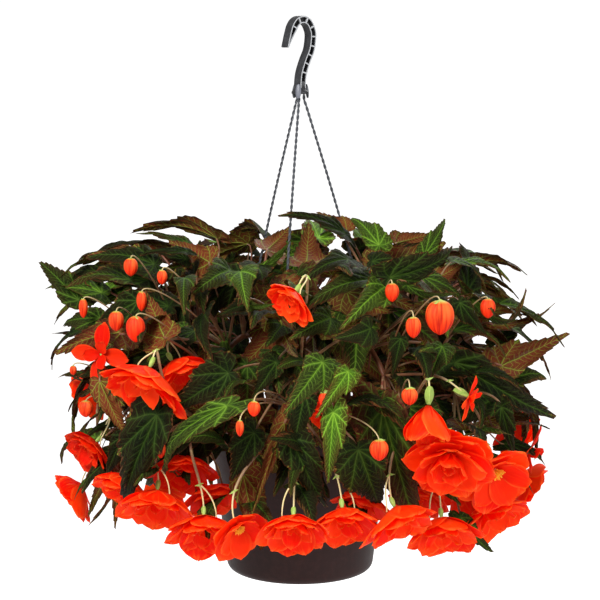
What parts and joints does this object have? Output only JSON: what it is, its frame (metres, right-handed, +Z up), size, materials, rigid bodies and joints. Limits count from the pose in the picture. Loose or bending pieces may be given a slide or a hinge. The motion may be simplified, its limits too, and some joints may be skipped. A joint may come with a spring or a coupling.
{
  "type": "begonia hanging basket",
  "caption": "Hanging basket: a round plastic pot on twisted strands under a moulded hook, filled with trailing begonia foliage and layered orange-red blooms.",
  "frame": {"origin": "where the inside of the hook's arch bears on its rail", "axes": "+Z up along the line the basket hangs on, -Y towards the planting's fullest side, +X to the right of it"},
  "size_m": [0.659, 0.684, 0.6919],
  "materials": {
    "pot_plastic": "satin",
    "soil": "matte",
    "hook_plastic": "satin",
    "strand_plastic": "satin",
    "foliage": "satin",
    "petals": "satin"
  },
  "bodies": {
    "root": {"pot": "pot_plastic", "soil": "soil", "hook": "hook_plastic", "strand_1": "strand_plastic", "strand_2": "strand_plastic", "strand_3": "strand_plastic", "leafy_stem_01": "foliage", "leafy_stem_02": "foliage", "leafy_stem_03": "foliage", "leafy_stem_04": "foliage", "leafy_stem_05": "foliage", "leafy_stem_06": "foliage", "leafy_stem_07": "foliage", "leafy_stem_08": "foliage", "leafy_stem_09": "foliage", "leafy_stem_10": "foliage", "leafy_stem_11": "foliage", "leafy_stem_12": "foliage", "bloom_01": "petals", "bloom_02": "petals", "bloom_03": "petals", "bloom_04": "petals", "bloom_05": "petals", "bloom_06": "petals", "bloom_07": "petals", "bloom_08": "petals", "bloom_09": "petals", "bloom_10": "petals", "bloom_11": "petals", "bloom_12": "petals", "bloom_13": "petals", "bloom_14": "petals", "bloom_15": "petals", "bloom_16": "petals", "bloom_17": "petals", "bloom_18": "petals", "bloom_19": "petals", "bloom_20": "petals", "bloom_21": "petals", "bloom_22": "petals", "bloom_23": "petals", "bloom_24": "petals", "bloom_25": "petals", "bloom_26": "petals", "bloom_27": "petals", "bloom_28": "petals", "bloom_29": "petals", "bloom_30": "petals", "bloom_31": "petals", "bloom_32": "petals", "bloom_33": "petals", "bloom_34": "petals"}
  },
  "joints": []
}
